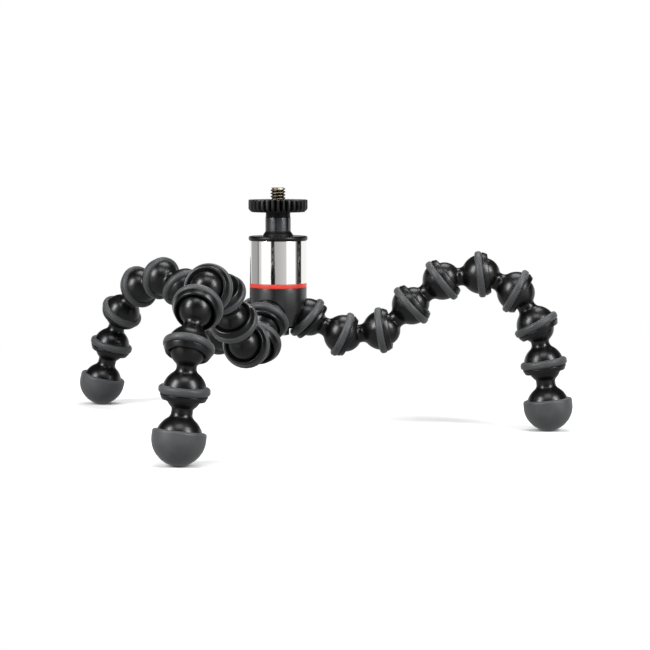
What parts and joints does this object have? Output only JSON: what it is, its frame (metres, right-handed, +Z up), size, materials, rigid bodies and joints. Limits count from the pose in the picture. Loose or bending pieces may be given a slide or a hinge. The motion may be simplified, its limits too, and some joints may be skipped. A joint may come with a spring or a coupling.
{
  "type": "flexible leg tripod",
  "caption": "Tabletop tripod with legs of chained ball joints that bend and hold, rubber feet, and a ball head with a knurled wheel and a camera screw.",
  "frame": {"origin": "centre of the wheel's top face, where a camera seats around the screw", "axes": "+Z up along the camera screw; +X along the right leg's hub socket; +Y away from the viewer"},
  "size_m": [0.2034, 0.2179, 0.101],
  "materials": {
    "hub_plastic": "satin moulded",
    "black_plastic": "glossy moulded",
    "grip_rubber": "matte",
    "boot_rubber": "soft matte",
    "red_plastic": "gloss",
    "polished_steel": "mirror polished",
    "collar_black": "black anodised",
    "stem_metal": "satin black",
    "wheel_plastic": "knurled",
    "screw_metal": "plated",
    "seat_plastic": "moulded",
    "pad_rubber": "moulded",
    "steel": "zinc plated"
  },
  "bodies": {
    "base": {"hub_shell": "hub_plastic", "socket_core": "black_plastic", "red_band": "red_plastic", "pan_bolt": "steel", "hub_nut": "steel"},
    "head": {"head_sleeve": "polished_steel", "head_collar": "collar_black", "ball_seat": "seat_plastic", "seat_pad": "pad_rubber"},
    "stem": {"ball_stem": "stem_metal"},
    "wheel": {"lock_wheel": "wheel_plastic", "camera_screw": "screw_metal"},
    "right_link_1": {"right_link_1": "black_plastic"},
    "right_ring_1": {"right_ring_1": "grip_rubber"},
    "right_link_2": {"right_link_2": "black_plastic"},
    "right_ring_2": {"right_ring_2": "grip_rubber"},
    "right_link_3": {"right_link_3": "black_plastic"},
    "right_ring_3": {"right_ring_3": "grip_rubber"},
    "right_link_4": {"right_link_4": "black_plastic"},
    "right_ring_4": {"right_ring_4": "grip_rubber"},
    "right_link_5": {"right_link_5": "black_plastic"},
    "right_ring_5": {"right_ring_5": "grip_rubber"},
    "right_link_6": {"right_link_6": "black_plastic"},
    "right_ring_6": {"right_ring_6": "grip_rubber"},
    "right_link_7": {"right_link_7": "black_plastic"},
    "right_link_8": {"right_link_8": "black_plastic"},
    "right_foot": {"right_foot": "black_plastic", "right_boot": "boot_rubber"},
    "rear_link_1": {"rear_link_1": "black_plastic"},
    "rear_ring_1": {"rear_ring_1": "grip_rubber"},
    "rear_link_2": {"rear_link_2": "black_plastic"},
    "rear_ring_2": {"rear_ring_2": "grip_rubber"},
    "rear_link_3": {"rear_link_3": "black_plastic"},
    "rear_ring_3": {"rear_ring_3": "grip_rubber"},
    "rear_link_4": {"rear_link_4": "black_plastic"},
    "rear_ring_4": {"rear_ring_4": "grip_rubber"},
    "rear_link_5": {"rear_link_5": "black_plastic"},
    "rear_ring_5": {"rear_ring_5": "grip_rubber"},
    "rear_link_6": {"rear_link_6": "black_plastic"},
    "rear_ring_6": {"rear_ring_6": "grip_rubber"},
    "rear_link_7": {"rear_link_7": "black_plastic"},
    "rear_link_8": {"rear_link_8": "black_plastic"},
    "rear_foot": {"rear_foot": "black_plastic", "rear_boot": "boot_rubber"},
    "front_link_1": {"front_link_1": "black_plastic"},
    "front_ring_1": {"front_ring_1": "grip_rubber"},
    "front_link_2": {"front_link_2": "black_plastic"},
    "front_ring_2": {"front_ring_2": "grip_rubber"},
    "front_link_3": {"front_link_3": "black_plastic"},
    "front_ring_3": {"front_ring_3": "grip_rubber"},
    "front_link_4": {"front_link_4": "black_plastic"},
    "front_ring_4": {"front_ring_4": "grip_rubber"},
    "front_link_5": {"front_link_5": "black_plastic"},
    "front_ring_5": {"front_ring_5": "grip_rubber"},
    "front_link_6": {"front_link_6": "black_plastic"},
    "front_ring_6": {"front_ring_6": "grip_rubber"},
    "front_link_7": {"front_link_7": "black_plastic"},
    "front_link_8": {"front_link_8": "black_plastic"},
    "front_foot": {"front_foot": "black_plastic", "front_boot": "boot_rubber"}
  },
  "joints": [
    {"name": "head_pan", "type": "hinge", "parent": "base", "child": "head", "pos_m": [0, 0, -0.033], "axis": [0, 0, 1], "continuous": true},
    {"name": "head_tilt", "type": "hinge", "parent": "head", "child": "stem", "pos_m": [0, 0, -0.0182], "axis": [-1, 0, 0], "range_deg": [-12, 90]},
    {"name": "wheel_turn", "type": "hinge", "parent": "stem", "child": "wheel", "pos_m": [0, 0, -0.005], "axis": [0, 0, 1], "continuous": true},
    {"name": "right_turn_1", "type": "hinge", "parent": "base", "child": "right_ring_1", "pos_m": [0.0132, 0, -0.0502], "axis": [0.7431, 0, -0.6691], "range_deg": [-90, 90]},
    {"name": "right_bend_1", "type": "hinge", "parent": "right_ring_1", "child": "right_link_1", "pos_m": [0.0132, 0, -0.0502], "axis": [-0.1391, -0.9781, -0.1545], "range_deg": [-54.08, 17.92]},
    {"name": "right_turn_2", "type": "hinge", "parent": "right_link_1", "child": "right_ring_2", "pos_m": [0.02821, -0.00106, -0.05697], "axis": [0.9096, -0.0645, -0.4105], "range_deg": [-90, 90]},
    {"name": "right_bend_2", "type": "hinge", "parent": "right_ring_2", "child": "right_link_2", "pos_m": [0.02821, -0.00106, -0.05697], "axis": [0.1661, 0.962, 0.2168], "range_deg": [-2, 70]},
    {"name": "right_turn_3", "type": "hinge", "parent": "right_link_2", "child": "right_ring_3", "pos_m": [0.04416, -0.0044, -0.05442], "axis": [0.9671, -0.2019, 0.1549], "range_deg": [-90, 90]},
    {"name": "right_bend_3", "type": "hinge", "parent": "right_ring_3", "child": "right_link_3", "pos_m": [0.04416, -0.0044, -0.05442], "axis": [-0.2078, -0.9779, 0.0228], "range_deg": [-70, 2]},
    {"name": "right_turn_4", "type": "hinge", "parent": "right_link_3", "child": "right_ring_4", "pos_m": [0.05604, -0.00666, -0.04319], "axis": [0.7196, -0.137, 0.6807], "range_deg": [-90, 90]},
    {"name": "right_bend_4", "type": "hinge", "parent": "right_ring_4", "child": "right_link_4", "pos_m": [0.05604, -0.00666, -0.04319], "axis": [0.2078, 0.9779, -0.0228], "range_deg": [-40, 32]},
    {"name": "right_turn_5", "type": "hinge", "parent": "right_link_4", "child": "right_ring_5", "pos_m": [0.06864, -0.00909, -0.03282], "axis": [0.7641, -0.1477, 0.628], "range_deg": [-90, 90]},
    {"name": "right_bend_5", "type": "hinge", "parent": "right_ring_5", "child": "right_link_5", "pos_m": [0.06864, -0.00909, -0.03282], "axis": [-0.2078, -0.9779, 0.0228], "range_deg": [-4, 68]},
    {"name": "right_turn_6", "type": "hinge", "parent": "right_link_5", "child": "right_ring_6", "pos_m": [0.08468, -0.01246, -0.03084], "axis": [0.9716, -0.2037, 0.1204], "range_deg": [-90, 90]},
    {"name": "right_bend_6", "type": "hinge", "parent": "right_ring_6", "child": "right_link_6", "pos_m": [0.08468, -0.01246, -0.03084], "axis": [0.2078, 0.9779, -0.0228], "range_deg": [-71, 1]},
    {"name": "right_bend_7", "type": "hinge", "parent": "right_link_6", "child": "right_link_7", "pos_m": [0.09888, -0.01565, -0.0386], "axis": [-0.2078, -0.9779, 0.0228], "range_deg": [-3, 69]},
    {"name": "right_bend_8", "type": "hinge", "parent": "right_link_7", "child": "right_link_8", "pos_m": [0.10661, -0.01763, -0.05304], "axis": [0.2078, 0.9779, -0.0228], "range_deg": [-55, 17]},
    {"name": "right_bend_9", "type": "hinge", "parent": "right_link_8", "child": "right_foot", "pos_m": [0.10932, -0.01859, -0.06929], "axis": [-0.2078, -0.9779, 0.0228], "range_deg": [-32, 40]},
    {"name": "rear_turn_1", "type": "hinge", "parent": "base", "child": "rear_ring_1", "pos_m": [-0.0066, 0.01143, -0.0502], "axis": [-0.3716, 0.6436, -0.6691], "range_deg": [-90, 90]},
    {"name": "rear_bend_1", "type": "hinge", "parent": "rear_ring_1", "child": "rear_link_1", "pos_m": [-0.0066, 0.01143, -0.0502], "axis": [0.866, 0.5, 0], "range_deg": [-46.26, 25.74]},
    {"name": "rear_turn_2", "type": "hinge", "parent": "rear_link_1", "child": "rear_ring_2", "pos_m": [-0.01362, 0.02358, -0.05888], "axis": [-0.4252, 0.7365, -0.5261], "range_deg": [-90, 90]},
    {"name": "rear_bend_2", "type": "hinge", "parent": "rear_ring_2", "child": "rear_link_2", "pos_m": [-0.01362, 0.02358, -0.05888], "axis": [-0.8338, -0.5449, -0.0889], "range_deg": [-2, 70]},
    {"name": "rear_turn_3", "type": "hinge", "parent": "rear_link_2", "child": "rear_ring_3", "pos_m": [-0.02268, 0.03736, -0.05827], "axis": [-0.5494, 0.8347, 0.0368], "range_deg": [-90, 90]},
    {"name": "rear_bend_3", "type": "hinge", "parent": "rear_ring_3", "child": "rear_link_3", "pos_m": [-0.02268, 0.03736, -0.05827], "axis": [0.8349, 0.5502, -0.0156], "range_deg": [-67, 5]},
    {"name": "rear_turn_4", "type": "hinge", "parent": "rear_link_3", "child": "rear_ring_4", "pos_m": [-0.03017, 0.04897, -0.04926], "axis": [-0.4538, 0.7041, 0.5462], "range_deg": [-90, 90]},
    {"name": "rear_bend_4", "type": "hinge", "parent": "rear_ring_4", "child": "rear_link_4", "pos_m": [-0.03017, 0.04897, -0.04926], "axis": [-0.8349, -0.5502, 0.0156], "range_deg": [-32, 40]},
    {"name": "rear_turn_5", "type": "hinge", "parent": "rear_link_4", "child": "rear_ring_5", "pos_m": [-0.03728, 0.06005, -0.03931], "axis": [-0.431, 0.6711, 0.6033], "range_deg": [-90, 90]},
    {"name": "rear_bend_5", "type": "hinge", "parent": "rear_ring_5", "child": "rear_link_5", "pos_m": [-0.03728, 0.06005, -0.03931], "axis": [0.8349, 0.5502, -0.0156], "range_deg": [-9, 63]},
    {"name": "rear_turn_6", "type": "hinge", "parent": "rear_link_5", "child": "rear_ring_6", "pos_m": [-0.04618, 0.07364, -0.03641], "axis": [-0.5394, 0.8235, 0.1755], "range_deg": [-90, 90]},
    {"name": "rear_bend_6", "type": "hinge", "parent": "rear_ring_6", "child": "rear_link_6", "pos_m": [-0.04618, 0.07364, -0.03641], "axis": [-0.8115, -0.5641, 0.1525], "range_deg": [-65, 7]},
    {"name": "rear_bend_7", "type": "hinge", "parent": "rear_link_6", "child": "rear_link_7", "pos_m": [-0.05576, 0.086, -0.04166], "axis": [0.8115, 0.5641, -0.1525], "range_deg": [-5, 67]},
    {"name": "rear_bend_8", "type": "hinge", "parent": "rear_link_7", "child": "rear_link_8", "pos_m": [-0.06342, 0.09366, -0.05411], "axis": [-0.8115, -0.5641, 0.1525], "range_deg": [-60, 12]},
    {"name": "rear_bend_9", "type": "hinge", "parent": "rear_link_8", "child": "rear_foot", "pos_m": [-0.06804, 0.09606, -0.06977], "axis": [0.8115, 0.5641, -0.1525], "range_deg": [-32, 40]},
    {"name": "front_turn_1", "type": "hinge", "parent": "base", "child": "front_ring_1", "pos_m": [-0.0066, -0.01143, -0.0502], "axis": [-0.3716, -0.6436, -0.6691], "range_deg": [-90, 90]},
    {"name": "front_bend_1", "type": "hinge", "parent": "front_ring_1", "child": "front_link_1", "pos_m": [-0.0066, -0.01143, -0.0502], "axis": [-0.8785, 0.0105, 0.4777], "range_deg": [-52.19, 19.81]},
    {"name": "front_turn_2", "type": "hinge", "parent": "front_link_1", "child": "front_ring_2", "pos_m": [-0.01111, -0.02515, -0.05818], "axis": [-0.2731, -0.8315, -0.4839], "range_deg": [-90, 90]},
    {"name": "front_bend_2", "type": "hinge", "parent": "front_ring_2", "child": "front_link_2", "pos_m": [-0.01111, -0.02515, -0.05818], "axis": [0.925, -0.3651, 0.1054], "range_deg": [-1, 71]},
    {"name": "front_turn_3", "type": "hinge", "parent": "front_link_2", "child": "front_ring_3", "pos_m": [-0.0173, -0.04035, -0.0565], "axis": [-0.3753, -0.9213, 0.102], "range_deg": [-90, 90]},
    {"name": "front_bend_3", "type": "hinge", "parent": "front_ring_3", "child": "front_link_3", "pos_m": [-0.0173, -0.04035, -0.0565], "axis": [-0.925, 0.3651, -0.1054], "range_deg": [-70, 2]},
    {"name": "front_turn_4", "type": "hinge", "parent": "front_link_3", "child": "front_ring_4", "pos_m": [-0.02298, -0.05172, -0.04598], "axis": [-0.3446, -0.6889, 0.6377], "range_deg": [-90, 90]},
    {"name": "front_bend_4", "type": "hinge", "parent": "front_ring_4", "child": "front_link_4", "pos_m": [-0.02298, -0.05172, -0.04598], "axis": [0.925, -0.3651, 0.1054], "range_deg": [-32, 40]},
    {"name": "front_turn_5", "type": "hinge", "parent": "front_link_4", "child": "front_ring_5", "pos_m": [-0.02847, -0.06234, -0.03461], "axis": [-0.3326, -0.6436, 0.6893], "range_deg": [-90, 90]},
    {"name": "front_bend_5", "type": "hinge", "parent": "front_ring_5", "child": "front_link_5", "pos_m": [-0.02847, -0.06234, -0.03461], "axis": [-0.925, 0.3651, -0.1054], "range_deg": [-2, 70]},
    {"name": "front_turn_6", "type": "hinge", "parent": "front_link_5", "child": "front_ring_6", "pos_m": [-0.03472, -0.07735, -0.03179], "axis": [-0.3786, -0.9097, 0.1707], "range_deg": [-90, 90]},
    {"name": "front_bend_6", "type": "hinge", "parent": "front_ring_6", "child": "front_link_6", "pos_m": [-0.03472, -0.07735, -0.03179], "axis": [0.925, -0.3651, 0.1054], "range_deg": [-71, 1]},
    {"name": "front_bend_7", "type": "hinge", "parent": "front_link_6", "child": "front_link_7", "pos_m": [-0.03952, -0.09151, -0.03875], "axis": [-0.9563, 0.2749, 0.0998], "range_deg": [-1, 71]},
    {"name": "front_bend_8", "type": "hinge", "parent": "front_link_7", "child": "front_link_8", "pos_m": [-0.04316, -0.09903, -0.05298], "axis": [0.9563, -0.2749, -0.0998], "range_deg": [-66, 6]},
    {"name": "front_bend_9", "type": "hinge", "parent": "front_link_8", "child": "front_foot", "pos_m": [-0.04474, -0.09854, -0.0694], "axis": [-0.9563, 0.2749, 0.0998], "range_deg": [-43, 29]}
  ]
}
